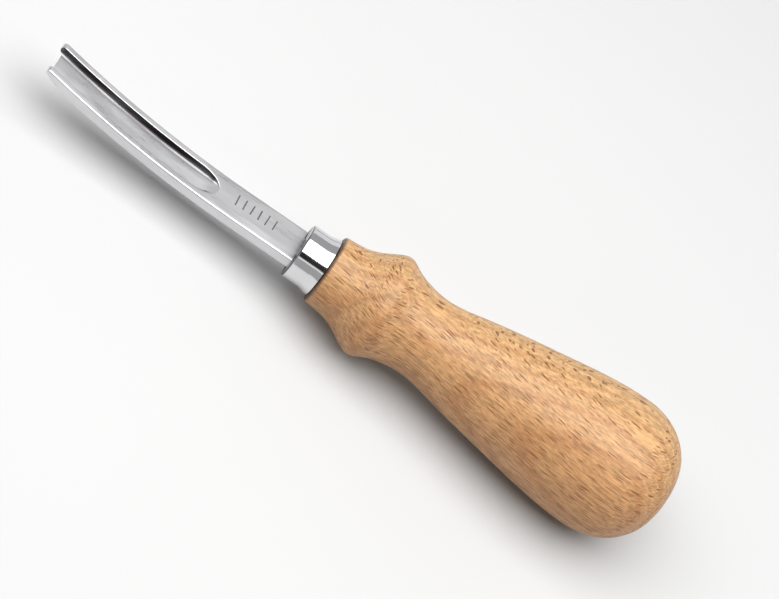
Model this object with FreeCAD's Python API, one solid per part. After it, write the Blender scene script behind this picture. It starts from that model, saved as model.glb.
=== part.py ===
"""Hand edge beveler for leather: bent grooved steel blade, chromed ferrule and turned beech handle.

Frame: +X runs along the turning axis towards the butt, +Z is up, out of the blade's grooved face,
and the origin is on the turning axis, halfway along the tool. All sizes are in millimetres.
"""
import FreeCAD, Part
import math
import os

Vector = FreeCAD.Vector

# ---- driving dimensions ----
OVERALL_LENGTH = 160.0
BLADE_LENGTH = 65.0          # from the blade's toe to the ferrule's face
FERRULE_LENGTH = 6.7
SEAM_GAP = 0.15              # between the ferrule's rear rim and the wood's front face

# blade: a flat bar, bent upwards towards the toe
BLADE_WIDTH = 9.0
BLADE_THICKNESS = 3.0
STRAIGHT_SHANK = 15.0        # the bar is straight for this far in front of the ferrule
BEND_RADIUS = 195.0          # of the bar's centre line
OUTER_EDGE_ROUND = 0.4       # along the bar's four long edges

# groove along the upper face, between two rails
GROOVE_WIDTH = 6.0
GROOVE_DEPTH = 1.7
GROOVE_LENGTH = 44.3         # from the toe to where it runs out of the upper face
RUNOUT_RADIUS = 11.0         # of the wheel that ground the groove
RUNOUT_TAPER = 5.7           # length of the groove's rounded end, seen from above
GROOVE_CORNER_ROUND = 0.9    # where its walls meet its floor

# toe: round noses on the rails, and an underside ground up to a sharp edge at the groove's floor
NOSE_RADIUS = 0.8
GRIND_LENGTH = 9.0
GRIND_BOW = 0.35             # how far the ground underside bows out from a straight bevel

# tang, hidden in the handle
SHOULDER_GAP = 0.2           # between the bar's rear end and the ferrule
TANG_WIDTH = 5.0
TANG_THICKNESS = 2.8         # relieved on both faces
TANG_LENGTH = 51.0           # behind the ferrule's face
TANG_END_WIDTH = 3.4
TANG_END_THICKNESS = 2.2
TANG_TAPER_START = 12.0      # parallel for this far behind the ferrule's face

# ferrule: a cap with a closed face and a flared skirt
FERRULE_RADIUS = 6.4
FERRULE_REAR_RADIUS = 6.9
FERRULE_WALL = 0.6
FERRULE_FACE = 0.7
FERRULE_FACE_ROUND = 0.45    # outer edge of the face
FERRULE_STRAIGHT = 3.9       # length of the straight skirt, before the flare
SLOT_CLEARANCE = 0.1         # round the tang

# handle: stations along the turned outline, as (distance behind the wood's front face, radius)
FRONT_RIM_RADIUS = 8.1
FRONT_EDGE_ROUND = 0.8
FRONT_BAND = (3.2, 8.27)
NECK = (6.2, 8.8)
COLLAR_FLANK = (11.6, 11.45)
COLLAR_CREST = (14.2, 12.3)
COLLAR_BACK = (16.7, 11.25)
WAIST_FRONT = (20.3, 9.95)
WAIST = (25.7, 9.25)
GRIP_SWELL = (34.3, 10.55)
GRIP_MIDDLE = (52.3, 13.72)
GRIP_REAR = (64.3, 15.5)
BULB = (72.6, 16.0)
DOME_SHOULDER = (79.2, 14.95)
DOME_CORNER = (83.7, 12.25)
DOME_EDGE = (86.7, 8.3)

TANG_HOLE_RADIUS = 3.3
TANG_HOLE_CLEARANCE = 2.0    # the hole runs this far past the tang's end
DRILL_POINT = 1.9            # length of the hole's conical bottom

TENON_CLEARANCE = 0.05       # between the tenon and the ferrule's skirt

# working values for the cuts
CUTTER_OVERSHOOT = 5.0       # past the toe
CUTTER_HEIGHT = 22.0
SLIGHT = 1e-4                # two lengths closer than this are equal

# ---- places worked out from them ----
TOE_X = -OVERALL_LENGTH / 2
BUTT_X = OVERALL_LENGTH / 2
FERRULE_X = TOE_X + BLADE_LENGTH
WOOD_X = FERRULE_X + FERRULE_LENGTH + SEAM_GAP
BEND_X = FERRULE_X - STRAIGHT_SHANK
HALF_THICKNESS = BLADE_THICKNESS / 2
BEND_CENTRE = Vector(BEND_X, 0, BEND_RADIUS)
TOP_RADIUS = BEND_RADIUS - HALF_THICKNESS
TENON_X = FERRULE_X + FERRULE_FACE
SHOULDER_X = FERRULE_X - SHOULDER_GAP
TANG_END_X = FERRULE_X + TANG_LENGTH
HOLE_END_X = TANG_END_X + TANG_HOLE_CLEARANCE

# the nose's centre lies one nose radius behind the toe and one under the upper face
NOSE_ANGLE = math.asin((BEND_X - TOE_X - NOSE_RADIUS) / (TOP_RADIUS + NOSE_RADIUS))
BEND_ANGLE = NOSE_ANGLE + NOSE_RADIUS / TOP_RADIUS
BEND_LENGTH = BEND_ANGLE * TOP_RADIUS


def on_bar(back, depth):
    """Point in the XZ plane, this far back from the toe along the upper face and this deep under it."""
    angle = BEND_ANGLE - back / TOP_RADIUS
    radius = TOP_RADIUS + depth
    if angle < 0:
        return Vector(BEND_X - angle * TOP_RADIUS, 0, HALF_THICKNESS - depth)
    return BEND_CENTRE + Vector(-radius * math.sin(angle), 0, -radius * math.cos(angle))


def arc(start, middle, end):
    """Circular edge through three points."""
    return Part.Arc(start, middle, end).toShape()


def line(start, end):
    return Part.LineSegment(start, end).toShape()


def prism(edges, direction):
    """Solid of a closed outline, extruded along direction, half to each side of the outline."""
    wire = Part.Wire(Part.__sortEdges__(edges))
    wire.translate(direction * -0.5)
    return Part.Face(wire).extrude(direction)


def turned(edges):
    """Solid of a closed outline in the XZ plane, turned round the X axis."""
    face = Part.Face(Part.Wire(Part.__sortEdges__(edges)))
    return face.revolve(Vector(0, 0, 0), Vector(1, 0, 0), 360)


def point(x, radius):
    """Point of a turned outline."""
    return Vector(x, 0, radius)


def block(x_from, x_to, width, height):
    """Block centred on the X axis."""
    corner = Vector(x_from, -width / 2, -height / 2)
    return Part.makeBox(x_to - x_from, width, height, corner)


def bar():
    """The bent bar with its ground toe and rounded long edges, before the groove is cut."""
    nose_top = on_bar(NOSE_RADIUS, 0)
    nose_front = on_bar(0, NOSE_RADIUS)
    nose_bottom = on_bar(NOSE_RADIUS, 2 * NOSE_RADIUS)
    grind_depth = (BLADE_THICKNESS + 2 * NOSE_RADIUS) / 2 + GRIND_BOW
    grind_middle = on_bar((GRIND_LENGTH + NOSE_RADIUS) / 2, grind_depth)
    grind_start = on_bar(GRIND_LENGTH, BLADE_THICKNESS)
    bend_middle = on_bar((GRIND_LENGTH + BEND_LENGTH) / 2, BLADE_THICKNESS)
    bend_bottom = on_bar(BEND_LENGTH, BLADE_THICKNESS)
    bend_top = on_bar(BEND_LENGTH, 0)
    rear_top = Vector(SHOULDER_X, 0, HALF_THICKNESS)
    rear_bottom = Vector(SHOULDER_X, 0, -HALF_THICKNESS)
    outline = [
        arc(nose_top, nose_front, nose_bottom),
        arc(nose_bottom, grind_middle, grind_start),
        arc(grind_start, bend_middle, bend_bottom),
        line(bend_bottom, rear_bottom),
        line(rear_bottom, rear_top),
        line(rear_top, bend_top),
        arc(bend_top, on_bar(BEND_LENGTH / 2, 0), nose_top),
    ]
    body = prism(outline, Vector(0, BLADE_WIDTH, 0))
    side_edges = [edge for edge in body.Edges if in_side_plane(edge, BLADE_WIDTH / 2)]
    rear_x = SHOULDER_X - SLIGHT
    long_edges = [edge for edge in side_edges if edge.BoundBox.XMin < rear_x]
    return body.makeFillet(OUTER_EDGE_ROUND, long_edges)


def in_side_plane(edge, distance):
    """Whether an edge lies in one of the two planes this far to each side of the XZ plane."""
    bounds = edge.BoundBox
    flat = bounds.YLength < SLIGHT
    return flat and abs(abs(bounds.YMin) - distance) < SLIGHT


def groove_cutter():
    """Everything above the groove's floor, with rounded bottom corners and a rounded run-out."""
    wheel_reach = math.sqrt(GROOVE_DEPTH * (2 * RUNOUT_RADIUS - GROOVE_DEPTH))
    floor_back = GROOVE_LENGTH - wheel_reach
    floor_slope = BEND_ANGLE - floor_back / TOP_RADIUS
    wheel_centre = on_bar(floor_back, GROOVE_DEPTH - RUNOUT_RADIUS)

    def on_wheel(angle):
        """Point on the grinding wheel's rim, this far round from where it leaves the floor."""
        turn = angle - floor_slope
        return wheel_centre + Vector(math.sin(turn), 0, -math.cos(turn)) * RUNOUT_RADIUS

    front_floor = on_bar(-CUTTER_OVERSHOOT, GROOVE_DEPTH)
    front_top = front_floor + Vector(0, 0, CUTTER_HEIGHT)
    rim_end = on_wheel(math.radians(90))
    rear_top = Vector(rim_end.x, 0, front_top.z)
    floor_middle = on_bar((floor_back - CUTTER_OVERSHOOT) / 2, GROOVE_DEPTH)
    profile = [
        arc(front_floor, floor_middle, on_wheel(0)),
        arc(on_wheel(0), on_wheel(math.radians(45)), rim_end),
        line(rim_end, rear_top),
        line(rear_top, front_top),
        line(front_top, front_floor),
    ]
    above_floor = prism(profile, Vector(0, 2 * GROOVE_WIDTH, 0))

    taper_x = on_bar(GROOVE_LENGTH, 0).x - RUNOUT_TAPER
    front_x = front_floor.x
    half = GROOVE_WIDTH / 2
    ellipse = Part.Ellipse(Vector(taper_x, 0, 0), RUNOUT_TAPER, half)
    plan = [
        Part.ArcOfEllipse(ellipse, -math.pi / 2, math.pi / 2).toShape(),
        line(Vector(taper_x, half, 0), Vector(front_x, half, 0)),
        line(Vector(front_x, half, 0), Vector(front_x, -half, 0)),
        line(Vector(front_x, -half, 0), Vector(taper_x, -half, 0)),
    ]
    cutter = above_floor.common(prism(plan, Vector(0, 0, 3 * CUTTER_HEIGHT)))
    floor_edges = []
    for edge in cutter.Edges:
        bounds = edge.BoundBox
        along_wall = bounds.XLength > SLIGHT and abs(bounds.YMin + bounds.YMax) > SLIGHT
        if along_wall and bounds.ZMax < front_floor.z + SLIGHT:
            floor_edges.append(edge)
    return cutter.makeFillet(GROOVE_CORNER_ROUND, floor_edges)


def tang():
    """Flat tang: parallel through the ferrule, then tapered to its end."""
    taper_x = FERRULE_X + TANG_TAPER_START
    parallel = block(SHOULDER_X, taper_x, TANG_WIDTH, TANG_THICKNESS)

    def section(x, width, height):
        """Rectangular wire across the X axis."""
        corners = []
        for side, level in ((-1, -1), (1, -1), (1, 1), (-1, 1), (-1, -1)):
            corners.append(Vector(x, side * width / 2, level * height / 2))
        return Part.makePolygon(corners)

    start = section(taper_x, TANG_WIDTH, TANG_THICKNESS)
    end = section(TANG_END_X, TANG_END_WIDTH, TANG_END_THICKNESS)
    return parallel.fuse(Part.makeLoft([start, end], True, True))


def make_blade():
    """Grooved blade with its tang, in one piece of steel."""
    grooved = bar().cut(groove_cutter())
    return grooved.fuse(tang()).removeSplitter()


def make_ferrule():
    """Pressed cap: closed face with a slot for the tang, straight skirt and flared rear rim."""
    face_round = FERRULE_FACE_ROUND
    rear_x = FERRULE_X + FERRULE_LENGTH
    flare_x = FERRULE_X + FERRULE_STRAIGHT
    inner = FERRULE_RADIUS - FERRULE_WALL
    inner_rear = FERRULE_REAR_RADIUS - FERRULE_WALL
    round_middle = face_round * (1 - math.sqrt(0.5))

    def flare(radius, rear_radius):
        """Smooth S from the straight skirt to the rear rim."""
        curve = Part.BSplineCurve()
        middle = point((flare_x + rear_x) / 2, (radius + rear_radius) / 2)
        level = Vector(1, 0, 0)
        ends = [point(flare_x, radius), middle, point(rear_x, rear_radius)]
        curve.interpolate(Points=ends, InitialTangent=level, FinalTangent=level)
        return curve.toShape()

    outline = [
        line(point(FERRULE_X, 0), point(FERRULE_X, FERRULE_RADIUS - face_round)),
        arc(point(FERRULE_X, FERRULE_RADIUS - face_round),
            point(FERRULE_X + round_middle, FERRULE_RADIUS - round_middle),
            point(FERRULE_X + face_round, FERRULE_RADIUS)),
        line(point(FERRULE_X + face_round, FERRULE_RADIUS), point(flare_x, FERRULE_RADIUS)),
        flare(FERRULE_RADIUS, FERRULE_REAR_RADIUS),
        line(point(rear_x, FERRULE_REAR_RADIUS), point(rear_x, inner_rear)),
        flare(inner, inner_rear),
        line(point(flare_x, inner), point(TENON_X, inner)),
        line(point(TENON_X, inner), point(TENON_X, 0)),
        line(point(TENON_X, 0), point(FERRULE_X, 0)),
    ]
    slot_width = TANG_WIDTH + 2 * SLOT_CLEARANCE
    slot_height = TANG_THICKNESS + 2 * SLOT_CLEARANCE
    slot = block(FERRULE_X - 1, TENON_X + 1, slot_width, slot_height)
    return turned(outline).cut(slot)


def tang_hole():
    """Drilled blind hole for the tang, with its conical bottom."""
    outline = [
        line(point(TENON_X, 0), point(TENON_X, TANG_HOLE_RADIUS)),
        line(point(TENON_X, TANG_HOLE_RADIUS), point(HOLE_END_X, TANG_HOLE_RADIUS)),
        line(point(HOLE_END_X, TANG_HOLE_RADIUS), point(HOLE_END_X + DRILL_POINT, 0)),
        line(point(HOLE_END_X + DRILL_POINT, 0), point(TENON_X, 0)),
    ]
    return turned(outline)


def make_handle():
    """Turned handle: tenon inside the ferrule, neck, collar, waist and swelling palm grip."""
    rim = point(WOOD_X, FRONT_RIM_RADIUS - FRONT_EDGE_ROUND)
    rim_middle = FRONT_EDGE_ROUND * (1 - math.sqrt(0.5))
    rim_side = point(WOOD_X + FRONT_EDGE_ROUND, FRONT_RIM_RADIUS)
    tenon_radius = FERRULE_RADIUS - FERRULE_WALL - TENON_CLEARANCE
    rounded_rim = arc(rim, point(WOOD_X + rim_middle, FRONT_RIM_RADIUS - rim_middle), rim_side)

    stations = [rim_side]
    for back, radius in (FRONT_BAND, NECK, COLLAR_FLANK, COLLAR_CREST, COLLAR_BACK, WAIST_FRONT, WAIST,
                         GRIP_SWELL, GRIP_MIDDLE, GRIP_REAR, BULB):
        stations.append(point(WOOD_X + back, radius))
    grip = Part.BSplineCurve()
    grip.interpolate(Points=stations, FinalTangent=Vector(1, 0, 0))

    dome_stations = [stations[-1]]
    for back, radius in (DOME_SHOULDER, DOME_CORNER, DOME_EDGE):
        dome_stations.append(point(WOOD_X + back, radius))
    butt = point(BUTT_X, 0)
    dome = Part.BSplineCurve()
    dome.interpolate(Points=dome_stations + [butt], InitialTangent=Vector(1, 0, 0),
                     FinalTangent=Vector(0, 0, -1))
    outline = [
        line(point(TENON_X, 0), point(TENON_X, tenon_radius)),
        line(point(TENON_X, tenon_radius), point(WOOD_X, tenon_radius)),
        line(point(WOOD_X, tenon_radius), rim),
        rounded_rim,
        grip.toShape(),
        dome.toShape(),
        line(butt, point(TENON_X, 0)),
    ]
    return turned(outline).cut(tang_hole())


def make_adhesive():
    """Cured epoxy that fills the hole round the tang."""
    return tang_hole().cut(tang())


def main():
    os.makedirs("parts", exist_ok=True)
    parts = {
        "blade": make_blade(),
        "ferrule": make_ferrule(),
        "handle": make_handle(),
        "tang_adhesive": make_adhesive(),
    }
    for name, shape in parts.items():
        solid = shape.Solids[0]
        bounds = solid.BoundBox
        low = [round(value, 3) for value in (bounds.XMin, bounds.YMin, bounds.ZMin)]
        high = [round(value, 3) for value in (bounds.XMax, bounds.YMax, bounds.ZMax)]
        print(name, len(shape.Solids), solid.isValid(), round(solid.Volume, 1), low, high)
        solid.exportStep(f"parts/{name}.step")


if __name__ == "__main__":
    main()
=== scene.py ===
"""Looks of a hand edge beveler for leather: grooved steel blade, chromed ferrule, turned beech handle."""
import math

import bmesh
import bpy
import numpy as np
from mathutils import Matrix, Vector


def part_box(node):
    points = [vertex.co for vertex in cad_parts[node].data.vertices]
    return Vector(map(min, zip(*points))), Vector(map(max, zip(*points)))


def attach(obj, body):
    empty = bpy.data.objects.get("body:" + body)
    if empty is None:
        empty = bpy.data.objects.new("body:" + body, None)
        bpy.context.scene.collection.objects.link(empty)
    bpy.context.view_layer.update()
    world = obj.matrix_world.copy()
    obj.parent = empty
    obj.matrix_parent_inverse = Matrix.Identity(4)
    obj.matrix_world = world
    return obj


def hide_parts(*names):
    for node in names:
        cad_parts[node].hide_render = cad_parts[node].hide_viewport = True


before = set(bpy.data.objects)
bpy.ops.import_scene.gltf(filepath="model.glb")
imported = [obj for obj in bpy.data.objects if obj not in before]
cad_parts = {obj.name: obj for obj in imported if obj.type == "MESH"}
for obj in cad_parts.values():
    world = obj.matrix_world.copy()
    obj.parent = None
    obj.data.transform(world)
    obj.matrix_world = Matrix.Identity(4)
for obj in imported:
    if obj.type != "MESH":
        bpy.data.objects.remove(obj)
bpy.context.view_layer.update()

bl_info = {
    "name": "Edge Beveler",
    "version": (1, 0, 0),
    "blender": (4, 5, 0),
    "location": "3D View > Sidebar > Edge Beveler",
    "description": "Builds a leatherworker's edge beveler piece by piece round its fixed CAD frame",
    "category": "Object",
}

MM = 0.001
ROOT_BODY = "root"

# ends of the pieces, from the frame
BLADE_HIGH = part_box("blade")[1]
FERRULE_LOW, FERRULE_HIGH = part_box("ferrule")
HANDLE_LOW, HANDLE_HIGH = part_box("handle")
ADHESIVE_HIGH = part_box("tang_adhesive")[1]
WOOD_X = FERRULE_HIGH.x + 0.15 * MM      # the wood's front face, behind a fine seam


def length(name, description, millimetres):
    """A length that a user can change, given here in millimetres."""
    return bpy.props.FloatProperty(name=name, description=description, default=millimetres * MM,
                                   precision=5, unit="LENGTH", subtype="DISTANCE")


def station(name, back, radius):
    """A point of the turned outline: how far it is behind the wood's front face, and its radius."""
    return bpy.props.FloatVectorProperty(name=name, size=2, default=(back * MM, radius * MM), precision=5,
                                         unit="LENGTH", description="Distance behind the front face, radius")


def colour(name, description, code):
    """A colour that a user can change, given here as an sRGB hex code."""
    return bpy.props.FloatVectorProperty(name=name, description=description, size=4, default=linear(code),
                                         min=0.0, max=1.0, subtype="COLOR")


def linear(code):
    """Linear RGBA of an sRGB hex code."""
    channels = [int(code[i:i + 2], 16) / 255 for i in (1, 3, 5)]
    return tuple(((c + 0.055) / 1.055) ** 2.4 if c > 0.04045 else c / 12.92 for c in channels) + (1.0,)


# ---- settings that a user would change ----

class BladeSettings(bpy.types.PropertyGroup):
    width: length("Width", "Across the bar", 9.0)
    thickness: length("Thickness", "Of the bar", 3.0)
    straight: length("Straight shank", "In front of the ferrule", 15.0)
    shoulder_gap: length("Shoulder gap", "Between the bar's rear end and the ferrule", 0.2)
    bend_radius: length("Bend radius", "Of the bar's centre line", 195.0)
    edge_round: length("Edge round", "Along the bar's long edges", 0.4)
    groove_width: length("Groove width", "Between the rails", 6.0)
    groove_depth: length("Groove depth", "Under the rails' tops", 1.7)
    groove_length: length("Groove length", "From the toe to where it runs out", 44.3)
    groove_corner: length("Groove corner", "Radius between its walls and its floor", 0.9)
    runout_radius: length("Run-out radius", "Of the wheel that ground the groove", 11.0)
    runout_taper: length("Run-out taper", "Length of its rounded end, seen from above", 5.7)
    lip_round: length("Lip round", "Along the rails' inner edges", 0.14)
    nose_radius: length("Nose radius", "Of the rails' rounded toes", 0.8)
    grind_length: length("Grind length", "Of the toe's ground underside", 9.0)
    grind_bow: length("Grind bow", "How far the ground underside bows out", 0.35)
    tang_width: length("Tang width", "In the ferrule's slot", 5.0)
    tang_thickness: length("Tang thickness", "In the ferrule's slot", 2.8)
    tang_parallel: length("Parallel tang", "Length before its taper", 12.0)
    tang_end_width: length("Tang end width", "At its hidden end", 3.4)
    tang_end_thickness: length("Tang end thickness", "At its hidden end", 2.2)
    steel: colour("Steel", "Ground stainless steel", "#D4D4D6")
    # painted shade: the colour that darkens the groove's walls, for the dark reflection and shade they show
    scale: colour("Scale", "Dark mill scale on the groove's walls", "#3A3436")
    mark: colour("Mark", "Etched strokes", "#54504E")
    strokes: bpy.props.IntProperty(name="Strokes", description="Etched across the shank", default=6, min=1)
    stroke_pitch: length("Stroke pitch", "From one etched stroke to the next", 1.9)
    stroke_length: length("Stroke length", "Of each etched stroke", 2.8)
    stroke_width: length("Stroke width", "Of each etched stroke", 0.3)


class FerruleSettings(bpy.types.PropertyGroup):
    wall: length("Wall", "Of the pressed skirt", 0.6)
    face: length("Face", "Thickness of its closed face", 0.7)
    face_round: length("Face round", "Outer edge of its face", 0.45)
    front_radius: length("Front radius", "Of its straight skirt", 6.4)
    rear_radius: length("Rear radius", "Of its flared rim", 6.9)
    straight: length("Straight skirt", "Length before the flare", 3.9)
    clearance: length("Slot clearance", "Round the tang", 0.1)
    chrome: colour("Chrome", "Polished chrome plate", "#DCDCDE")
    # painted shade on the closed face, for the shade before the blade's shoulder
    face_shade_paint: colour("Face tone", "Darker closed face", "#3C3A3C")


class HandleSettings(bpy.types.PropertyGroup):
    rim_radius: length("Front rim radius", "Of the wood behind the ferrule", 8.1)
    rim_round: length("Front rim round", "Of the wood's front edge", 0.8)
    front_band: station("Front band", 3.2, 8.27)
    neck: station("Neck", 6.2, 8.8)
    collar_flank: station("Collar flank", 11.6, 11.45)
    collar_crest: station("Collar crest", 14.2, 12.3)
    collar_back: station("Collar back", 16.7, 11.25)
    waist_front: station("Waist front", 20.3, 9.95)
    waist: station("Waist", 25.7, 9.25)
    grip_swell: station("Grip swell", 34.3, 10.55)
    grip_middle: station("Grip middle", 52.3, 13.72)
    grip_rear: station("Grip rear", 64.3, 15.5)
    bulb: station("Bulb", 72.6, 16.0)
    dome_shoulder: station("Dome shoulder", 79.2, 14.95)
    dome_corner: station("Dome corner", 83.7, 12.25)
    dome_edge: station("Dome edge", 86.7, 8.3)
    tenon_radius: length("Tenon radius", "Inside the ferrule", 5.75)
    hole_radius: length("Tang hole radius", "Filled with adhesive", 3.3)
    drill_point: length("Drill point", "Length of the hole's conical bottom", 1.9)
    segments: bpy.props.IntProperty(name="Segments", description="Round the handle", default=160, min=16)
    early_wood: colour("Early wood", "Pale wood between the rings", "#B08C60")
    late_wood: colour("Late wood", "Darker line of each ring", "#A57E54")
    fleck: colour("Flecks", "Ray ends", "#6E431E")
    ring_spacing: length("Ring spacing", "From one growth ring to the next", 3.4)


class StageSettings(bpy.types.PropertyGroup):
    lens: length("Lens", "Focal length", 200.0)
    view_width: length("View width", "Seen across the picture at the tool", 164.5)
    turn: bpy.props.FloatProperty(name="Turn", description="Of the camera from over the groove to its side",
                                  default=math.radians(39.0), subtype="ANGLE")
    tilt: bpy.props.FloatProperty(name="Tilt", description="Of the camera towards the toe",
                                  default=math.radians(7.0), subtype="ANGLE")
    slope: bpy.props.FloatProperty(name="Slope", description="How far the tool points down across the view",
                                   default=math.radians(34.51), subtype="ANGLE")
    aim_right: length("Aim right", "Centre of the view, right of the tool's middle", 7.05)
    aim_down: length("Aim down", "Centre of the view, below the tool's middle", 1.98)
    floor: colour("Floor", "Pale matt board", "#B8B8B8")


# ---- small tools ----

def on_root(piece):
    """Lets a finished piece ride on the tool's one body."""
    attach(piece, ROOT_BODY)
    return piece


def new_object(name, data):
    """Links a new object that holds data."""
    made = bpy.data.objects.new(name, data)
    bpy.context.scene.collection.objects.link(made)
    return made


def spline_slopes(points, first=None, last=None):
    """Slopes, per unit of chord length, of the cubic spline through points, with free ends if none given."""
    points = np.array(points, float)
    steps = np.linalg.norm(np.diff(points, axis=0), axis=1)
    count = len(points)
    matrix = np.zeros((count, count))
    wanted = np.zeros(points.shape)
    for i in range(1, count - 1):
        before = steps[i - 1]
        after = steps[i]
        matrix[i, i - 1:i + 2] = [after, 2 * (before + after), before]
        rise_before = (points[i] - points[i - 1]) / before
        rise_after = (points[i + 1] - points[i]) / after
        wanted[i] = 3 * (after * rise_before + before * rise_after)
    for row, beside, fixed in ((0, 1, first), (count - 1, count - 2, last)):
        if fixed is None:
            matrix[row, [row, beside]] = [2, 1]
            step = steps[min(row, beside)]
            wanted[row] = 3 * (points[max(row, beside)] - points[min(row, beside)]) / step
        else:
            matrix[row, row] = 1
            wanted[row] = fixed
    return np.linalg.solve(matrix, wanted), steps


def smooth_run(points, samples, first=None, last=None):
    """Points along the cubic spline through points, with this many steps between each pair."""
    slopes, steps = spline_slopes(points, first, last)
    points = np.array(points, float)
    run = []
    for i, step in enumerate(steps):
        for t in np.linspace(0, 1, samples, endpoint=False):
            start_share = (1 + 2 * t) * (1 - t) ** 2
            start_pull = t * (1 - t) ** 2 * step
            end_share = t * t * (3 - 2 * t)
            end_pull = t * t * (t - 1) * step
            run.append(start_share * points[i] + start_pull * slopes[i]
                       + end_share * points[i + 1] + end_pull * slopes[i + 1])
    run.append(points[-1])
    return [tuple(p) for p in run]


def quarter_round(centre, radius, start, end, steps=6):
    """Points of an arc round centre, from one angle to another, in degrees."""
    angles = np.radians(np.linspace(start, end, steps + 1))
    return [(centre[0] + radius * math.cos(a), centre[1] + radius * math.sin(a)) for a in angles]


class Nodes:
    """A node tree that is filled one node at a time."""

    def __init__(self, tree):
        self.tree = tree
        tree.nodes.clear()

    def add(self, kind, inputs=None, **settings):
        """Adds a node with its settings; each input is a value, or an output to link from."""
        node = self.tree.nodes.new(kind)
        for name, value in settings.items():
            setattr(node, name, value)
        for key, value in (inputs or {}).items():
            if isinstance(value, bpy.types.NodeSocket):
                self.tree.links.new(value, node.inputs[key])
            else:
                node.inputs[key].default_value = value
        return node


def plain_mesh(maker, name):
    """Plain mesh object from an object whose modifier makes its shape, which is then removed."""
    depsgraph = bpy.context.evaluated_depsgraph_get()
    mesh = bpy.data.meshes.new_from_object(maker.evaluated_get(depsgraph), depsgraph=depsgraph)
    old = maker.data
    bpy.data.objects.remove(maker)
    if isinstance(old, bpy.types.Mesh):
        bpy.data.meshes.remove(old)
    else:
        bpy.data.curves.remove(old)
    mesh.name = name
    return new_object(name, mesh)


def with_tree(maker, tree, values):
    """Adds a Geometry Nodes modifier, with its inputs set by name before it is first evaluated."""
    modifier = maker.modifiers.new(tree.name, "NODES")
    modifier.node_group = tree
    identifiers = {item.name: item.identifier for item in tree.interface.items_tree
                   if item.in_out == "INPUT"}
    for name, value in values.items():
        modifier[identifiers[name]] = value
    return maker


# ---- shapes made by Geometry Nodes ----

def lathe_tree():
    """Turns a profile (radius, distance along the axis) round the tool's axis, then welds its poles."""
    tree = bpy.data.node_groups.new("Lathe", "GeometryNodeTree")
    face = tree.interface
    face.new_socket("Profile", in_out="INPUT", socket_type="NodeSocketGeometry")
    face.new_socket("Segments", in_out="INPUT", socket_type="NodeSocketInt")
    face.new_socket("Material", in_out="INPUT", socket_type="NodeSocketMaterial")
    face.new_socket("Turned", in_out="OUTPUT", socket_type="NodeSocketGeometry")
    nodes = Nodes(tree)
    given = nodes.add("NodeGroupInput").outputs
    circle = nodes.add("GeometryNodeCurvePrimitiveCircle",
                       {"Resolution": given["Segments"], "Radius": 0.00001}, mode="RADIUS")
    sweep = nodes.add("GeometryNodeCurveToMesh",
                      {"Curve": circle.outputs["Curve"], "Profile Curve": given["Profile"]})
    weld = nodes.add("GeometryNodeMergeByDistance",
                     {"Geometry": sweep.outputs["Mesh"], "Distance": 0.00003})
    along = nodes.add("GeometryNodeTransform",
                      {"Geometry": weld.outputs["Geometry"], "Rotation": (0, -math.pi / 2, 0)})
    smooth = nodes.add("GeometryNodeSetShadeSmooth", {"Geometry": along.outputs["Geometry"]})
    plain = nodes.add("GeometryNodeRealizeInstances", {"Geometry": smooth.outputs["Geometry"]})
    finish = nodes.add("GeometryNodeSetMaterial",
                       {"Geometry": plain.outputs["Geometry"], "Material": given["Material"]})
    nodes.add("NodeGroupOutput", {"Turned": finish.outputs["Geometry"]})
    return tree


def turned(name, outline, segments, material):
    """Plain mesh turned from an outline of (x, radius) points, which ends where it starts or on the axis."""
    curve = bpy.data.curves.new(name + "_profile", "CURVE")
    curve.dimensions = "3D"
    closed = math.dist(outline[0], outline[-1]) < 1e-7
    points = outline[:-1] if closed else outline
    spline = curve.splines.new("POLY")
    spline.points.add(len(points) - 1)
    spline.use_cyclic_u = closed
    for place, (x, radius) in zip(spline.points, points):
        place.co = (radius - 0.00001, x, 0, 1)
    maker = with_tree(new_object(name + "_maker", curve), lathe_tree(),
                      {"Segments": segments, "Material": material})
    return plain_mesh(maker, name)


def cut_slot(piece, middle, size):
    """Plain mesh of a piece with a straight slot of this (x, y, z) size cut through it, on the axis."""
    shape = bmesh.new()
    bmesh.ops.create_cube(shape, size=1.0)
    spread = Matrix.Diagonal((*size, 1))
    bmesh.ops.transform(shape, matrix=Matrix.Translation((middle, 0, 0)) @ spread, verts=shape.verts)
    mesh = bpy.data.meshes.new("slot_cutter")
    shape.to_mesh(mesh)
    shape.free()
    cutter = new_object("slot_cutter", mesh)
    cut = piece.modifiers.new("slot", "BOOLEAN")
    cut.operation = "DIFFERENCE"
    cut.solver = "EXACT"
    cut.object = cutter
    slotted = plain_mesh(piece, piece.name)
    bpy.data.objects.remove(cutter)
    bpy.data.meshes.remove(mesh)
    return slotted


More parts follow.
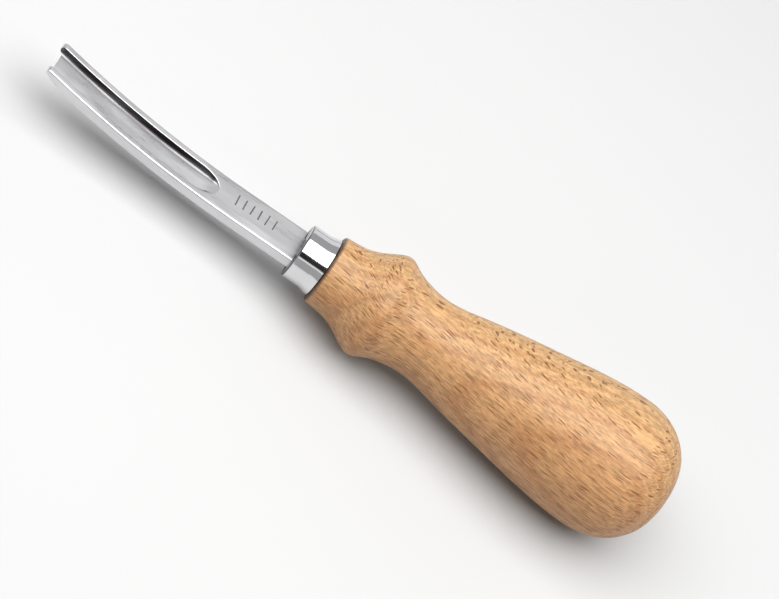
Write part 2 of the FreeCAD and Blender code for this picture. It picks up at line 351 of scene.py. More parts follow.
def stroke_tree():
    """Repeats one short etched stroke along the shank, each a little different."""
    tree = bpy.data.node_groups.new("Etched strokes", "GeometryNodeTree")
    face = tree.interface
    face.new_socket("Geometry", in_out="INPUT", socket_type="NodeSocketGeometry")
    face.new_socket("Count", in_out="INPUT", socket_type="NodeSocketInt")
    for name in ("First", "Step", "Size"):
        face.new_socket(name, in_out="INPUT", socket_type="NodeSocketVector")
    face.new_socket("Material", in_out="INPUT", socket_type="NodeSocketMaterial")
    face.new_socket("Strokes", in_out="OUTPUT", socket_type="NodeSocketGeometry")
    nodes = Nodes(tree)
    given = nodes.add("NodeGroupInput").outputs
    row = nodes.add("GeometryNodeMeshLine", {"Count": given["Count"], "Start Location": given["First"],
                                             "Offset": given["Step"]}, mode="OFFSET")
    stroke = nodes.add("GeometryNodeMeshCube", {"Size": given["Size"]})
    lean = nodes.add("FunctionNodeRandomValue", {0: (0, 0, -0.05), 1: (0, 0, 0.05), "Seed": 4},
                     data_type="FLOAT_VECTOR")
    reach = nodes.add("FunctionNodeRandomValue", {0: (0.9, 0.84, 1), 1: (1.1, 1.06, 1), "Seed": 7},
                      data_type="FLOAT_VECTOR")
    copies = nodes.add("GeometryNodeInstanceOnPoints",
                       {"Points": row.outputs["Mesh"], "Instance": stroke.outputs["Mesh"],
                        "Rotation": lean.outputs["Value"], "Scale": reach.outputs["Value"]})
    plain = nodes.add("GeometryNodeRealizeInstances", {"Geometry": copies.outputs["Instances"]})
    finish = nodes.add("GeometryNodeSetMaterial",
                       {"Geometry": plain.outputs["Geometry"], "Material": given["Material"]})
    nodes.add("NodeGroupOutput", {"Strokes": finish.outputs["Geometry"]})
    return tree


# ---- the blade's form ----

TOE_BLEND = 3 * MM       # behind the toe, the lower columns have spread out evenly
SCOOP_TIP = 0.1 * MM     # the groove's last bit fades out at a constant width
SCOOP_BLEND = 5 * MM     # behind the groove, its columns have spread out again
EDGE_STEPS = 6           # of each rounded long edge
WALL_COLUMN = 14         # where the groove's walls start, counted in from either side
WALL_SHADE_PAINT = (0.4, 1.0, 1.0, 1.0, 0.95, 0.9, 0.85, 0.85, 0.9, 0.6)  # painted shade on the groove's walls, from lip to floor
SHADE_PAINT_DEPTH = 0.5 * MM   # the walls' painted shade fades in from this groove depth to twice it


class BladeForm:
    """Where each point of the bar lies, given how far it is back from the toe and across the bar.

    Distances back are measured along the upper face. Depths are below that face."""

    def __init__(self, size):
        self.size = size
        self.bend_x = FERRULE_LOW.x - size.straight
        self.top_radius = size.bend_radius - size.thickness / 2
        toe_x = -HANDLE_HIGH.x           # the origin is halfway along the tool
        reach = self.bend_x - toe_x - size.nose_radius
        nose_angle = math.asin(reach / (self.top_radius + size.nose_radius))
        self.bend_angle = nose_angle + size.nose_radius / self.top_radius
        self.bend_length = self.bend_angle * self.top_radius
        self.shoulder = self.bend_length + size.straight - size.shoulder_gap

    def place(self, back, depth):
        """(x, z) of a point at this distance back and this depth."""
        top = self.size.thickness / 2
        if back > self.bend_length:
            return self.bend_x + back - self.bend_length, top - depth
        angle = self.bend_angle - back / self.top_radius
        radius = self.top_radius + depth
        return self.bend_x - radius * math.sin(angle), self.size.bend_radius - radius * math.cos(angle)

    def groove(self, back):
        """Half width and depth of the groove at this distance back."""
        size = self.size
        before_end = size.groove_length - back
        if before_end <= 0:
            return 0.0, 0.0
        half = size.groove_width / 2
        if before_end < size.runout_taper:
            half *= math.sqrt(1 - (1 - before_end / size.runout_taper) ** 2)
        chord = math.sqrt(size.runout_radius ** 2 - (size.runout_radius - size.groove_depth) ** 2)
        depth = size.groove_depth
        if before_end < chord:
            left = chord - before_end
            depth -= size.runout_radius - math.sqrt(size.runout_radius ** 2 - left * left)
        return half, depth

    def grind(self, back):
        """How much the toe's underside is ground away at this distance back."""
        size = self.size
        share = max(0.0, (size.grind_length - back) / (size.grind_length - size.nose_radius))
        flat = share * (size.thickness - 2 * size.nose_radius)
        return max(0.0, flat - 4 * size.grind_bow * share * (1 - share))


def ease(off, radius):
    """How far a rounded edge of this radius drops at this distance in from the side."""
    if off >= radius:
        return 0.0
    return radius - math.sqrt(max(0.0, radius * radius - (radius - off) ** 2))


def rows_along(form):
    """Distances back from the toe for the blade's rows: close together where the form changes fast."""
    size = form.size
    nose = size.nose_radius
    rows = [nose * (1 - math.cos(a)) for a in np.linspace(0, math.pi / 2, 9)]
    end = size.groove_length
    taper = end - size.runout_taper
    rows += list(np.linspace(nose, size.grind_length, 26)[1:])
    rows += list(np.linspace(size.grind_length, taper, 44)[1:])
    rows += list(end - size.runout_taper * (1 - np.sin(np.linspace(0, math.pi / 2, 61)[1:])))
    rows += list(np.linspace(end, form.bend_length, 10)[1:])
    rows += list(np.linspace(form.bend_length, form.shoulder, 16)[1:])
    return rows


def half_section(form, back):
    """One half of the upper face across the bar, from its side to the middle: (distance out, depth)."""
    size = form.size
    side = size.width / 2
    rounded = size.edge_round
    points = [(side - rounded + rounded * math.cos(a), rounded - rounded * math.sin(a))
              for a in np.linspace(0, math.pi / 2, EDGE_STEPS + 1)]
    half, deep = form.groove(min(back, size.groove_length - SCOOP_TIP))
    if back > size.groove_length:
        deep = 0.0
        half += (side - rounded - half) * 0.6 * min(1.0, (back - size.groove_length) / SCOOP_BLEND)
    elif back > size.groove_length - SCOOP_TIP:
        deep *= (size.groove_length - back) / SCOOP_TIP
    lip = min(size.lip_round, 0.3 * deep)
    corner = min(size.groove_corner, deep - lip, half)
    lip_start = half + size.lip_round
    for out in np.linspace(side - rounded, lip_start, 5)[1:]:
        points.append((out, 0.0))
    for a in np.linspace(0, math.pi / 2, 6)[1:]:
        points.append((half + size.lip_round * (1 - math.sin(a)), lip * (1 - math.cos(a))))
    for a in np.linspace(0, math.pi / 2, 8):
        points.append((half - corner * (1 - math.cos(a)), deep - corner * (1 - math.sin(a))))
    for out in np.linspace(half - corner, 0, 6)[1:]:
        points.append((out, deep))
    return points


def toe_start(form, depth):
    """How far behind the toe a column at this depth meets the ground underside."""
    nose = form.size.nose_radius
    if depth <= nose:
        return 0.0
    if depth < 2 * nose:
        return nose - math.sqrt(nose ** 2 - (depth - nose) ** 2)
    near = nose
    far = form.size.grind_length
    for _ in range(40):
        middle = (near + far) / 2
        if form.size.thickness - form.grind(middle) < depth:
            near = middle
        else:
            far = middle
    return near


def blade_grid(form):
    """Upper and lower rows of points over the whole bar, from the toe to the shoulder."""
    size = form.size
    nose = size.nose_radius
    side = size.width / 2
    inner = side - size.edge_round
    upper_rows = []
    lower_rows = []
    for back in rows_along(form):
        half = half_section(form, back)
        section = half + [(-out, depth) for out, depth in reversed(half[:-1])]
        last = len(section) - 1
        spread = min(1.0, back / TOE_BLEND)
        spread = spread * spread * (3 - 2 * spread)
        upper_row = []
        lower_row = []
        for j, (across, depth) in enumerate(section):
            inset = ease(side - abs(across), size.edge_round)
            front = max(inset, toe_start(form, depth))
            at = back if back > TOE_BLEND else front + back * (1 - front / TOE_BLEND)
            if at < nose:
                half_height = math.sqrt(max(0.0, (nose - inset) ** 2 - (nose - at) ** 2))
                upper = max(nose - half_height, depth)
                lower = nose + half_height
            else:
                upper = depth
                lower = size.thickness - form.grind(at) - inset
            if back == 0:
                lower = upper
            under = across
            if EDGE_STEPS < j < last - EDGE_STEPS:
                even = inner * (1 - 2 * (j - EDGE_STEPS) / (last - 2 * EDGE_STEPS))
                under = across + (even - across) * spread
            x, z = form.place(at, upper)
            upper_row.append((x, across, z))
            x, z = form.place(at, lower)
            lower_row.append((x, under, z))
        upper_rows.append(upper_row)
        lower_rows.append(lower_row)
    return upper_rows, lower_rows


def tang_loops(form):
    """Corners of the tang at the shoulder, where its taper starts and at its end."""
    size = form.size
    thickness = size.tang_thickness
    places = (
        (FERRULE_LOW.x - size.shoulder_gap, size.tang_width, thickness),
        (FERRULE_LOW.x + size.tang_parallel, size.tang_width, thickness),
        (BLADE_HIGH.x, size.tang_end_width, size.tang_end_thickness),
    )
    corners = ((-1, -1), (1, -1), (1, 1), (-1, 1))
    return [[(x, side * width / 2, level * height / 2) for side, level in corners]
            for x, width, height in places]


def blade_mesh(form, name):
    """Closed mesh of the grooved blade with its tang; a float attribute marks how much painted shade the
    groove's walls get.
    """
    shape = bmesh.new()
    scale = shape.verts.layers.float.new("scale")
    upper_rows, lower_rows = blade_grid(form)
    upper = [[shape.verts.new(p) for p in row] for row in upper_rows]
    for row, back in zip(upper, rows_along(form)):
        left = min(1.0, max(0.0, form.groove(back)[1] / SHADE_PAINT_DEPTH - 1))
        for side in (row, row[::-1]):
            for vert, amount in zip(side[WALL_COLUMN:], WALL_SHADE_PAINT):
                vert[scale] = amount * left
    lower = [[shape.verts.new(p) for p in row] for row in lower_rows]
    for i in range(len(upper) - 1):
        for j in range(len(upper[0]) - 1):
            shape.faces.new((upper[i][j], upper[i + 1][j], upper[i + 1][j + 1], upper[i][j + 1]))
            shape.faces.new((lower[i][j], lower[i][j + 1], lower[i + 1][j + 1], lower[i + 1][j]))
        shape.faces.new((upper[i][0], lower[i][0], lower[i + 1][0], upper[i + 1][0]))
        shape.faces.new((upper[i][-1], upper[i + 1][-1], lower[i + 1][-1], lower[i][-1]))
    rear = upper[-1] + lower[-1][::-1]
    loops = [[shape.verts.new(p) for p in loop] for loop in tang_loops(form)]
    around = zip(rear, rear[1:] + rear[:1])
    shoulder = [shape.edges.get((a, b)) or shape.edges.new((a, b)) for a, b in around]
    shoulder += [shape.edges.new((a, b)) for a, b in zip(loops[0], loops[0][1:] + loops[0][:1])]
    bmesh.ops.triangle_fill(shape, edges=shoulder, use_beauty=True)
    for near, far in zip(loops, loops[1:]):
        for k in range(4):
            shape.faces.new((near[k], near[k - 1], far[k - 1], far[k]))
    shape.faces.new(loops[-1])
    bmesh.ops.remove_doubles(shape, verts=shape.verts, dist=0.000002)
    bmesh.ops.recalc_face_normals(shape, faces=shape.faces)
    for edge in shape.edges:
        edge.smooth = edge.calc_face_angle(0.0) < math.radians(33)
    for face in shape.faces:
        face.smooth = True
    mesh = bpy.data.meshes.new(name)
    shape.to_mesh(mesh)
    shape.free()
    return mesh


# ---- materials ----

def material(name):
    """New material with its node tree, and the tree's Nodes helper."""
    made = bpy.data.materials.new(name)
    made.use_nodes = True
    return made, Nodes(made.node_tree)


def set_linear(ramp, stops):
    """Gives a colour ramp its stops: (position, linear RGBA)."""
    elements = ramp.color_ramp.elements
    while len(elements) < len(stops):
        elements.new(0.5)
    for element, (position, rgba) in zip(elements, stops):
        element.position = position
        element.color = rgba


def shade(rgba, amount):
    """The same linear colour, brighter or darker."""
    return tuple(min(1.0, c * amount) for c in rgba[:3]) + (1.0,)


def steel_material(size):
    """Stainless steel, ground and satin polished along the bar; fine streaks make it glint unevenly."""
    made, nodes = material("satin ground stainless steel")
    place = nodes.add("ShaderNodeTexCoord").outputs["Object"]
    # a grind mark is about 12 mm long and 0.15 mm wide
    drawn = nodes.add("ShaderNodeMapping", {"Vector": place, "Scale": (80, 6500, 6500)})
    marks = nodes.add("ShaderNodeTexNoise", {"Vector": drawn.outputs[0], "Scale": 1.0, "Detail": 3.0})
    broad = nodes.add("ShaderNodeMapping", {"Vector": place, "Scale": (60, 420, 420)})
    cloud = nodes.add("ShaderNodeTexNoise", {"Vector": broad.outputs[0], "Scale": 1.0, "Detail": 4.0})
    tone = nodes.add("ShaderNodeValToRGB", {"Fac": cloud.outputs["Fac"]})
    set_linear(tone, ((0.3, shade(size.steel, 0.93)), (0.7, shade(size.steel, 1.04))))
    mixed = nodes.add("ShaderNodeMath", {0: marks.outputs["Fac"], 1: cloud.outputs["Fac"]},
                      operation="ADD")
    rough = nodes.add("ShaderNodeMapRange", {"Value": mixed.outputs[0], "From Min": 0.6, "From Max": 1.4,
                                             "To Min": 0.24, "To Max": 0.40})
    relief = nodes.add("ShaderNodeBump", {"Height": marks.outputs["Fac"], "Distance": 0.000004,
                                          "Strength": 0.6})
    # painted shade: the groove's walls are darkened, unevenly, to stand in for the dark reflection and shade
    # they show
    walls = nodes.add("ShaderNodeAttribute", attribute_name="scale")
    shade_patchiness = nodes.add("ShaderNodeMapRange", {"Value": cloud.outputs["Fac"], "From Min": 0.3,
                                            "From Max": 0.7, "To Min": 0.75, "To Max": 1.15})
    left = nodes.add("ShaderNodeMath", {0: walls.outputs["Fac"], 1: shade_patchiness.outputs["Result"]},
                     operation="MULTIPLY", use_clamp=True)
    wall_shaded = nodes.add("ShaderNodeMix", {"Factor": left.outputs[0], 6: tone.outputs["Color"],
                                         7: size.scale}, data_type="RGBA")
    surface = nodes.add("ShaderNodeBsdfPrincipled",
                        {"Base Color": wall_shaded.outputs[2], "Metallic": 1.0,
                         "Roughness": rough.outputs["Result"], "Normal": relief.outputs["Normal"]})
    nodes.add("ShaderNodeOutputMaterial", {"Surface": surface.outputs["BSDF"]})
    return made


def mark_material(size):
    """Electro-etched strokes: darker, frosted steel that scatters light."""
    made, nodes = material("etched steel")
    place = nodes.add("ShaderNodeTexCoord").outputs["Object"]
    grain = nodes.add("ShaderNodeTexNoise", {"Vector": place, "Scale": 9000.0, "Detail": 2.0})
    tone = nodes.add("ShaderNodeValToRGB", {"Fac": grain.outputs["Fac"]})
    set_linear(tone, ((0.3, shade(size.mark, 0.8)), (0.7, shade(size.mark, 1.2))))
    surface = nodes.add("ShaderNodeBsdfPrincipled", {"Base Color": tone.outputs["Color"], "Metallic": 0.6,
                                                     "Roughness": 0.6})
    nodes.add("ShaderNodeOutputMaterial", {"Surface": surface.outputs["BSDF"]})
    return made


def chrome_material(size):
    """Polished chrome plate over pressed steel: mirror bright, with a faint haze of handling."""
    made, nodes = material("polished chrome plate")
    place = nodes.add("ShaderNodeTexCoord").outputs["Object"]
    haze = nodes.add("ShaderNodeTexNoise", {"Vector": place, "Scale": 260.0, "Detail": 5.0})
    rough = nodes.add("ShaderNodeMapRange", {"Value": haze.outputs["Fac"], "From Min": 0.3, "From Max": 0.7,
                                             "To Min": 0.05, "To Max": 0.13})
    tone = nodes.add("ShaderNodeValToRGB", {"Fac": haze.outputs["Fac"]})
    set_linear(tone, ((0.3, shade(size.chrome, 0.96)), (0.7, shade(size.chrome, 1.02))))
    # painted shade: the closed face is darkened, up to its rounded edge, for the shade in the gap before the
    # blade's shoulder
    along = nodes.add("ShaderNodeSeparateXYZ", {"Vector": place})
    front = FERRULE_LOW.x
    face = nodes.add("ShaderNodeMapRange", {"Value": along.outputs["X"], "From Min": front + 0.05 * MM,
                                            "From Max": front + 0.3 * MM, "To Min": 1.0, "To Max": 0.0})
    face_shaded = nodes.add("ShaderNodeMix", {"Factor": face.outputs["Result"], 6: tone.outputs["Color"],
                                         7: size.face_shade_paint}, data_type="RGBA")
    surface = nodes.add("ShaderNodeBsdfPrincipled", {"Base Color": face_shaded.outputs[2], "Metallic": 1.0,
                                                     "Roughness": rough.outputs["Result"]})
    nodes.add("ShaderNodeOutputMaterial", {"Surface": surface.outputs["BSDF"]})
    return made


def beech_material(size):
    """Turned beech under thin satin varnish: faint growth rings, fine fibres and short brown ray flecks."""
    made, nodes = material("varnished beech")
    place = nodes.add("ShaderNodeTexCoord").outputs["Object"]
    # log coordinates: along the grain, out from the tree's heart, and round it
    log = nodes.add("ShaderNodeMapping", {"Vector": place, "Rotation": (math.radians(205), 0.07, 0.03)})
    heart = nodes.add("ShaderNodeMapping", {"Vector": log.outputs[0], "Location": (0, 0.045, 0.004),
                                            "Scale": (0.06, 1, 1)})
    # growth rings, wavering a little
    sway = nodes.add("ShaderNodeMapping", {"Vector": log.outputs[0], "Scale": (22, 110, 110)})
    swayed = nodes.add("ShaderNodeTexNoise", {"Vector": sway.outputs[0], "Scale": 1.0, "Detail": 3.0})
    offset = nodes.add("ShaderNodeVectorMath", {0: swayed.outputs["Color"], "Scale": 0.0045},
                       operation="SCALE")
    bent = nodes.add("ShaderNodeVectorMath", {0: heart.outputs[0], 1: offset.outputs[0]},
                     operation="ADD")
    rings = nodes.add("ShaderNodeTexWave", {"Vector": bent.outputs[0],
                                            "Scale": 0.314 / size.ring_spacing, "Distortion": 0.0},
                      wave_type="RINGS", rings_direction="X", wave_profile="SIN")
    ring_tone = nodes.add("ShaderNodeValToRGB", {"Fac": rings.outputs["Fac"]})
    set_linear(ring_tone, ((0.0, size.early_wood), (0.6, shade(size.early_wood, 0.98)),
                           (1.0, size.late_wood)))
    # streaks about 1.6 mm long and 0.25 mm wide, and longer fibres under them
    short = nodes.add("ShaderNodeMapping", {"Vector": log.outputs[0], "Scale": (640, 1500, 4400)})
    streak = nodes.add("ShaderNodeTexNoise", {"Vector": short.outputs[0], "Scale": 1.0, "Detail": 3.0})
    drawn = nodes.add("ShaderNodeMapping", {"Vector": log.outputs[0], "Scale": (70, 1500, 2300)})
    fibre = nodes.add("ShaderNodeTexNoise", {"Vector": drawn.outputs[0], "Scale": 1.0, "Detail": 4.0})
    both = nodes.add("ShaderNodeMath", {0: streak.outputs["Fac"], 1: fibre.outputs["Fac"]},
                     operation="ADD")
    tone = nodes.add("ShaderNodeMapRange", {"Value": both.outputs[0], "From Min": 0.75, "From Max": 1.25,
                                            "To Min": 0.64, "To Max": 1.28})
    streaked = nodes.add("ShaderNodeVectorMath", {0: ring_tone.outputs["Color"],
                                                  "Scale": tone.outputs["Result"]}, operation="SCALE")
    # rays: small flat ribbons, about 4 by 1.7 by 0.3 mm at most, that show as brown spindles
    cells = nodes.add("ShaderNodeMapping", {"Vector": log.outputs[0], "Scale": (240, 600, 3600)})
    wobble = nodes.add("ShaderNodeVectorMath", {0: streak.outputs["Color"], "Scale": 0.35},
                       operation="SCALE")
    ragged = nodes.add("ShaderNodeVectorMath", {0: wobble.outputs[0], 1: cells.outputs[0]},
                       operation="ADD")
    ray = nodes.add("ShaderNodeTexVoronoi", {"Vector": ragged.outputs[0], "Scale": 1.0})
    chosen = nodes.add("ShaderNodeSeparateColor", {"Color": ray.outputs["Color"]})
    reach = nodes.add("ShaderNodeMapRange", {"Value": chosen.outputs["Red"], "From Min": 0.25,
                                             "From Max": 1.0, "To Min": 0.02, "To Max": 0.48})
    inside = nodes.add("ShaderNodeMath", {0: reach.outputs["Result"], 1: ray.outputs["Distance"]},
                       operation="SUBTRACT")
    dark = nodes.add("ShaderNodeMapRange", {"Value": inside.outputs[0], "From Min": 0.0,
                                            "From Max": 0.09, "To Min": 0.0, "To Max": 0.9})
    # painted shade: the wood is tinted darker and redder towards the camera's side (-Y) and left paler on
    # the far side, for how the light falls
    across = nodes.add("ShaderNodeSeparateXYZ", {"Vector": place})
    painted_side_shade = nodes.add("ShaderNodeMapRange", {"Value": across.outputs["Y"], "From Min": 7 * MM,
                                                "From Max": -13 * MM, "To Min": 0.0, "To Max": 1.0})
    side_shaded = nodes.add("ShaderNodeMix", {"Factor": painted_side_shade.outputs["Result"], 6: streaked.outputs[0],
                                         7: (1.0, 0.86, 0.82, 1.0)}, data_type="RGBA", blend_type="MULTIPLY")
    flecked = nodes.add("ShaderNodeMix", {"Factor": dark.outputs["Result"], 6: side_shaded.outputs[2],
                                          7: size.fleck}, data_type="RGBA")
    # painted shade: the wood is darkened along its front rim, in the seam by the ferrule
    rim = nodes.add("ShaderNodeMapRange", {"Value": across.outputs["X"], "From Min": WOOD_X + 0.1 * MM,
                                           "From Max": WOOD_X + 0.7 * MM, "To Min": 0.95, "To Max": 0.0})
    wood = nodes.add("ShaderNodeMix", {"Factor": rim.outputs["Result"], 6: flecked.outputs[2],
                                       7: shade(size.fleck, 0.35)}, data_type="RGBA")
    patchy = nodes.add("ShaderNodeTexNoise", {"Vector": place, "Scale": 45.0, "Detail": 3.0})
    rough = nodes.add("ShaderNodeMapRange", {"Value": patchy.outputs["Fac"], "From Min": 0.3,
                                             "From Max": 0.7, "To Min": 0.40, "To Max": 0.54})
    # the lathe left very fine ridges round the handle, each about 0.5 mm from the next
    lathed = nodes.add("ShaderNodeMapping", {"Vector": place, "Scale": (2000, 12, 12)})
    ridges = nodes.add("ShaderNodeTexNoise", {"Vector": lathed.outputs[0], "Scale": 1.0, "Detail": 1.0})
    ridge_relief = nodes.add("ShaderNodeBump", {"Height": ridges.outputs["Fac"], "Distance": 0.000012,
                                                "Strength": 0.35})
    relief = nodes.add("ShaderNodeBump", {"Height": both.outputs[0], "Distance": 0.00005,
                                          "Strength": 0.8, "Normal": ridge_relief.outputs["Normal"]})
    surface = nodes.add("ShaderNodeBsdfPrincipled",
                        {"Base Color": wood.outputs[2], "Roughness": rough.outputs["Result"],
                         "Normal": relief.outputs["Normal"], "Specular IOR Level": 0.35,
                         "Coat Weight": 0.12, "Coat Roughness": 0.32})
    nodes.add("ShaderNodeOutputMaterial", {"Surface": surface.outputs["BSDF"]})
    return made


def epoxy_material():
    """Cured amber epoxy with small bubbles, seen only if the handle is taken apart."""
    made, nodes = material("cured amber epoxy")
    place = nodes.add("ShaderNodeTexCoord").outputs["Object"]
    bubbles = nodes.add("ShaderNodeTexVoronoi", {"Vector": place, "Scale": 1400.0})
    tone = nodes.add("ShaderNodeValToRGB", {"Fac": bubbles.outputs["Distance"]})
    set_linear(tone, ((0.1, linear("#E8C98A")), (0.35, linear("#C89A4B"))))
    surface = nodes.add("ShaderNodeBsdfPrincipled", {"Base Color": tone.outputs["Color"], "Roughness": 0.25})
    nodes.add("ShaderNodeOutputMaterial", {"Surface": surface.outputs["BSDF"]})
    return made


def board_material(size):
    """Matt white board, with the faintest mottle."""
    made, nodes = material("matt white board")
    place = nodes.add("ShaderNodeTexCoord").outputs["Object"]
    mottle = nodes.add("ShaderNodeTexNoise", {"Vector": place, "Scale": 9.0, "Detail": 3.0})
    tone = nodes.add("ShaderNodeValToRGB", {"Fac": mottle.outputs["Fac"]})
    set_linear(tone, ((0.3, shade(size.floor, 0.985)), (0.7, shade(size.floor, 1.0))))
    surface = nodes.add("ShaderNodeBsdfPrincipled", {"Base Color": tone.outputs["Color"], "Roughness": 0.8})
    nodes.add("ShaderNodeOutputMaterial", {"Surface": surface.outputs["BSDF"]})
    return made


# ---- stage ----

def card(name, centre, facing, width, height):
    """Flat rectangle that faces a direction, as a stage object."""
    shape = bmesh.new()
    bmesh.ops.create_grid(shape, x_segments=1, y_segments=1, size=0.5)
    turn = Vector(facing).to_track_quat("Z", "Y").to_matrix().to_4x4()
    spread = Matrix.Diagonal((width, height, 1, 1))
    bmesh.ops.transform(shape, matrix=Matrix.Translation(centre) @ turn @ spread, verts=shape.verts)
    mesh = bpy.data.meshes.new(name)
    shape.to_mesh(mesh)
    shape.free()
    made = new_object(name, mesh)
    return made


def lay_board(size, handle):
    """Board that the tool lies on, tilted to pass just under its collar and its bulb."""
    collar_x = WOOD_X + handle.collar_crest[0]
    bulb_x = WOOD_X + handle.bulb[0]
    across = bulb_x - collar_x
    lean = math.asin((handle.bulb[1] - handle.collar_crest[1]) / across)
    up = Vector((math.sin(lean), 0, math.cos(lean)))
    under_collar = Vector((collar_x, 0, 0)) - up * handle.collar_crest[1]
    # the wood swells a little past the line through its two widest stations
    wood = bpy.data.objects["handle_wood"]
    swell = max(0.0, -min((corner.co - under_collar).dot(up) for corner in wood.data.vertices))
    board = card("board", under_collar - up * swell, up, 3.0, 3.0)
    board.data.materials.append(board_material(size))


def panel(name, direction, distance, width, height, glow):
    """Glowing or dark panel that faces the tool: it lights and is mirrored, but the camera can't see it."""
    towards = Vector(direction).normalized()
    made = card(name, towards * distance, -towards, width, height)
    lit = bpy.data.materials.new(name)
    lit.use_nodes = True
    nodes = Nodes(lit.node_tree)
    shine = nodes.add("ShaderNodeEmission", {"Color": (1, 1, 1, 1), "Strength": glow})
    nodes.add("ShaderNodeOutputMaterial", {"Surface": shine.outputs["Emission"]})
    made.data.materials.append(lit)
    made.visible_camera = False
    made.visible_shadow = False


def round_the_bar(degrees):
    """Direction across the tool: 0 is level on the camera's side, 90 straight up, 180 the far side."""
    angle = math.radians(degrees)
    return (0, -math.cos(angle), math.sin(angle))


def light_stage():
    """Big softbox over the tool, panels that shape its reflections and a dim fill from all round."""
    scene = bpy.context.scene
    softbox = bpy.data.lights.new("softbox", "AREA")
    softbox.shape = "RECTANGLE"
    softbox.size = 1.2
    softbox.size_y = 0.545
    softbox.energy = 7.9
    lamp = new_object("softbox", softbox)
    lamp.location = (0, -0.05, 0.5)
    lamp.visible_camera = False
    panel("camera_side_dark", round_the_bar(47), 1.1, 2.6, 0.43, 0.03)
    panel("camera_side_strip", round_the_bar(31), 1.1, 2.6, 0.10, 1.0)
    panel("far_side_low", round_the_bar(165), 1.1, 2.6, 0.5, 0.9)
    panel("handle_end_fill", (0.68, 0.57, 0.46), 1.1, 0.5, 0.6, 0.9)
    world = bpy.data.worlds.new("studio")
    world.use_nodes = True
    nodes = Nodes(world.node_tree)
    glow = nodes.add("ShaderNodeBackground", {"Color": (1, 1, 1, 1), "Strength": 0.45})
    nodes.add("ShaderNodeOutputWorld", {"Surface": glow.outputs["Background"]})
    scene.world = world


def aim_camera(scene, size):
    """Long lens, looking down on the groove's side of the tool with the toe at the upper left."""
    turn = size.turn
    tilt = size.tilt
    away = Vector((-math.sin(tilt), -math.cos(tilt) * math.sin(turn), math.cos(tilt) * math.cos(turn)))
    along = (Vector((1, 0, 0)) - away * away.x).normalized()
    above = away.cross(along)
    right = along * math.cos(size.slope) + above * math.sin(size.slope)
    up = above * math.cos(size.slope) - along * math.sin(size.slope)
    target = right * size.aim_right - up * size.aim_down
    data = bpy.data.cameras.new("camera")
    data.lens = size.lens / MM
    data.sensor_width = 36.0
    distance = size.view_width * data.lens / data.sensor_width
    camera = new_object("camera", data)
    turned_to = Matrix((right, up, away)).transposed().to_4x4()
    camera.matrix_world = Matrix.Translation(target + away * distance) @ turned_to
    scene.camera = camera
    scene.view_settings.view_transform = "Standard"


# ---- one operator for each piece ----

class BEVELER_OT_handle(bpy.types.Operator):
    """Turned beech handle: tenon, neck, collar, waist and swelling palm grip"""
    bl_idname = "beveler.handle"
    bl_label = "Handle"

    def execute(self, context):
        size = context.scene.beveler_handle
        rounded = size.rim_round
        hole_end = ADHESIVE_HIGH.x - size.drill_point
        stations = [size.front_band, size.neck, size.collar_flank, size.collar_crest, size.collar_back,
                    size.waist_front, size.waist, size.grip_swell, size.grip_middle, size.grip_rear,
                    size.bulb]
        side = [(WOOD_X + rounded, size.rim_radius)] + [(WOOD_X + back, r) for back, r in stations]
        dome = [side[-1]] + [(WOOD_X + back, r) for back, r in
                             (size.dome_shoulder, size.dome_corner, size.dome_edge)]
        dome.append((HANDLE_HIGH.x, 0.0))
        rim = quarter_round((WOOD_X + rounded, size.rim_radius - rounded), rounded, 180, 90)
        outline = [(ADHESIVE_HIGH.x, 0.0), (hole_end, size.hole_radius),
                   (HANDLE_LOW.x, size.hole_radius), (HANDLE_LOW.x, size.tenon_radius),
                   (WOOD_X, size.tenon_radius)]
        outline += rim
        outline += smooth_run(side, 10, last=(1, 0))[1:]
        outline += smooth_run(dome, 14, first=(1, 0), last=(0, -1))[1:]
        handle = turned("handle_wood", outline, size.segments, beech_material(size))
        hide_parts("handle")
        on_root(handle)
        return {"FINISHED"}


class BEVELER_OT_ferrule(bpy.types.Operator):
    """Pressed and chromed cap with a slot for the tang and a flared rear rim"""
    bl_idname = "beveler.ferrule"
    bl_label = "Ferrule"

    def execute(self, context):
        size = context.scene.beveler_ferrule
        front = FERRULE_LOW.x
        rear = FERRULE_HIGH.x
        flare = front + size.straight
        middle = (flare + rear) / 2
        outer = [(flare, size.front_radius), (middle, (size.front_radius + size.rear_radius) / 2),
                 (rear, size.rear_radius)]
        swept = smooth_run(outer, 8, first=(1, 0), last=(1, 0))
        inside = front + size.face
        rounded = size.face_round
        outline = [(front, 0.0)]
        outline += quarter_round((front + rounded, size.front_radius - rounded), rounded, 180, 90, 8)
        outline += swept
        outline += [(x, radius - size.wall) for x, radius in reversed(swept)]
        outline += [(inside, size.front_radius - size.wall), (inside, 0.0)]
        whole = turned("ferrule_cap", outline, 128, chrome_material(size))
        tang = context.scene.beveler_blade
        through = (4 * size.face, tang.tang_width + 2 * size.clearance,
                   tang.tang_thickness + 2 * size.clearance)
        cap = cut_slot(whole, front + size.face / 2, through)
        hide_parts("ferrule")
        on_root(cap)
        return {"FINISHED"}


class BEVELER_OT_blade(bpy.types.Operator):
    """Bent steel bar with a ground toe and a groove that runs out in a rounded scoop"""
    bl_idname = "beveler.blade"
    bl_label = "Blade"

    def execute(self, context):
        size = context.scene.beveler_blade
        blade = new_object("blade_steel", blade_mesh(BladeForm(size), "blade_steel"))
        blade.data.materials.append(steel_material(size))
        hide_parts("blade")
        on_root(blade)
        return {"FINISHED"}


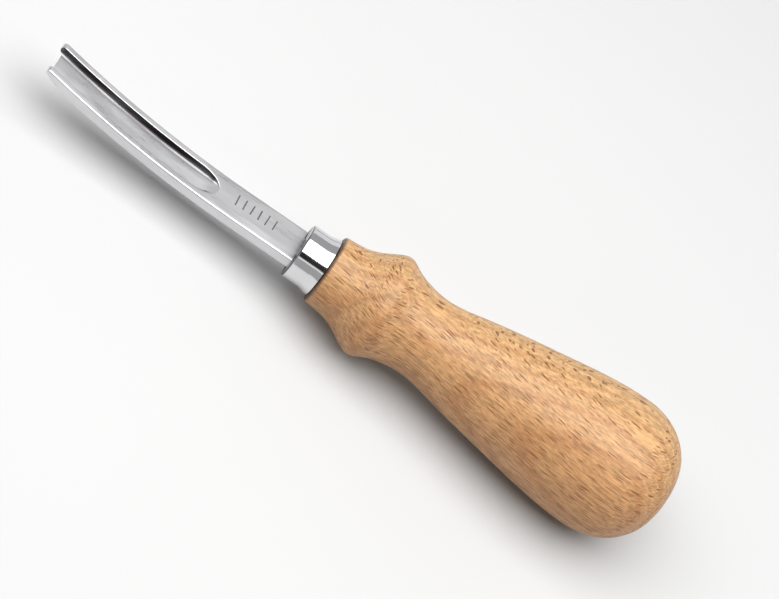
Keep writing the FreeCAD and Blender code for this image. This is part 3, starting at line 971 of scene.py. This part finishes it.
class BEVELER_OT_mark(bpy.types.Operator):
    """Six plain etched strokes across the shank"""
    bl_idname = "beveler.mark"
    bl_label = "Etched strokes"

    def execute(self, context):
        size = context.scene.beveler_blade
        seed = bpy.data.meshes.new("etched_strokes")
        maker = with_tree(new_object("etched_strokes_maker", seed), stroke_tree(), {
            "Count": size.strokes,
            "First": (FERRULE_LOW.x - 7 * MM, 0.7 * MM, size.thickness / 2),
            "Step": (-size.stroke_pitch, 0, 0),
            "Size": (size.stroke_width, size.stroke_length, 0.03 * MM),
            "Material": mark_material(size),
        })
        strokes = plain_mesh(maker, "etched_strokes")
        on_root(strokes)
        return {"FINISHED"}


class BEVELER_OT_adhesive(bpy.types.Operator):
    """Epoxy that fills the hole round the tang"""
    bl_idname = "beveler.adhesive"
    bl_label = "Tang adhesive"

    def execute(self, context):
        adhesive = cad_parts["tang_adhesive"]
        adhesive.data.materials.clear()
        adhesive.data.materials.append(epoxy_material())
        return {"FINISHED"}


class BEVELER_OT_stage(bpy.types.Operator):
    """Pale board, overhead softbox, reflecting panels and the camera"""
    bl_idname = "beveler.stage"
    bl_label = "Stage"

    def execute(self, context):
        size = context.scene.beveler_stage
        lay_board(size, context.scene.beveler_handle)
        light_stage()
        aim_camera(context.scene, size)
        return {"FINISHED"}


class BEVELER_PT_pieces(bpy.types.Panel):
    """Builds the tool piece by piece"""
    bl_idname = "BEVELER_PT_pieces"
    bl_label = "Edge Beveler"
    bl_space_type = "VIEW_3D"
    bl_region_type = "UI"
    bl_category = "Edge Beveler"

    def draw(self, context):
        for step in STEPS:
            self.layout.operator(step.bl_idname)
        for group in SETTINGS:
            box = self.layout.box()
            box.label(text=group)
            values = getattr(context.scene, "beveler_" + group)
            for name in values.__annotations__:
                box.prop(values, name)


SETTINGS = {"blade": BladeSettings, "ferrule": FerruleSettings, "handle": HandleSettings,
            "stage": StageSettings}
STEPS = (BEVELER_OT_handle, BEVELER_OT_ferrule, BEVELER_OT_blade, BEVELER_OT_mark, BEVELER_OT_adhesive,
         BEVELER_OT_stage)


def register():
    """Adds the settings, the operators and the panel."""
    for group, settings in SETTINGS.items():
        bpy.utils.register_class(settings)
        setattr(bpy.types.Scene, "beveler_" + group, bpy.props.PointerProperty(type=settings))
    for step in STEPS:
        bpy.utils.register_class(step)
    bpy.utils.register_class(BEVELER_PT_pieces)


def unregister():
    """Takes them away again."""
    bpy.utils.unregister_class(BEVELER_PT_pieces)
    for step in reversed(STEPS):
        bpy.utils.unregister_class(step)
    for group, settings in SETTINGS.items():
        delattr(bpy.types.Scene, "beveler_" + group)
        bpy.utils.unregister_class(settings)


def main():
    """Builds every piece and the stage."""
    register()
    bpy.ops.beveler.handle()
    bpy.ops.beveler.ferrule()
    bpy.ops.beveler.blade()
    bpy.ops.beveler.mark()
    bpy.ops.beveler.adhesive()
    bpy.ops.beveler.stage()


if __name__ == "__main__":
    main()
